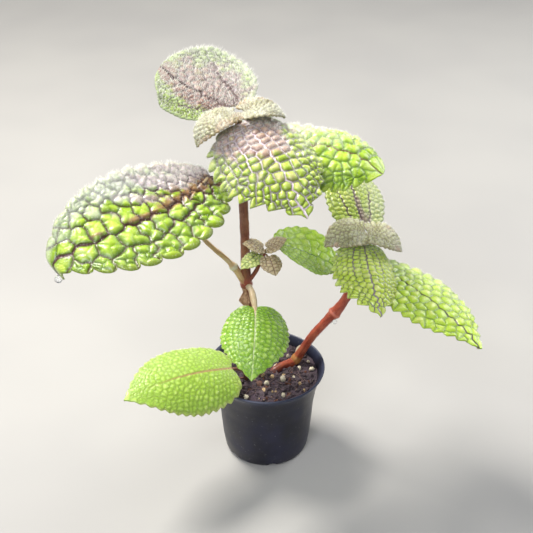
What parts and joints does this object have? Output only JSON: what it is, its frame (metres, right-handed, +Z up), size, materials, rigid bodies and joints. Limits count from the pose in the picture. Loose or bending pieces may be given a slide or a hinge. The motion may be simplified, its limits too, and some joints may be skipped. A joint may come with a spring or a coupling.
{
  "type": "potted friendship plant",
  "caption": "Young friendship plant with deeply quilted, toothed leaves on two stems, rooted in a small round nursery pot of mix.",
  "frame": {"origin": "centre of the pot's flat underside", "axes": "+Z up along the pot's axis; -Y faces the viewer of the picture; +X to that viewer's right"},
  "size_m": [0.1734, 0.1202, 0.1872],
  "materials": {
    "pot": "matte moulded",
    "soil": "moist peat mix",
    "stem": "fleshy, satin",
    "branch": "fleshy, satin",
    "dry": "dry, papery",
    "leaf": "quilted, satin",
    "bronze_leaf": "quilted, hairy",
    "pale_leaf": "quilted, downy"
  },
  "bodies": {
    "root": {"pot": "pot", "soil": "soil", "main_stem": "stem", "side_shoot_stem": "stem", "branch_stem": "branch", "dry_stipule": "dry", "leaf_top_back": "bronze_leaf", "leaf_young_left": "pale_leaf", "leaf_young_right": "pale_leaf", "leaf_top_front": "bronze_leaf", "leaf_top_right": "leaf", "leaf_big_left": "leaf", "leaf_side_shoot": "leaf", "leaf_bud_left": "leaf", "leaf_bud_back": "bronze_leaf", "leaf_bud_right": "bronze_leaf", "leaf_bud_front": "bronze_leaf", "leaf_right_back": "leaf", "leaf_right_young_left": "pale_leaf", "leaf_right_young_right": "pale_leaf", "leaf_right_front": "leaf", "leaf_right_low": "leaf", "leaf_low_front": "leaf", "leaf_low_left": "leaf"}
  },
  "joints": []
}
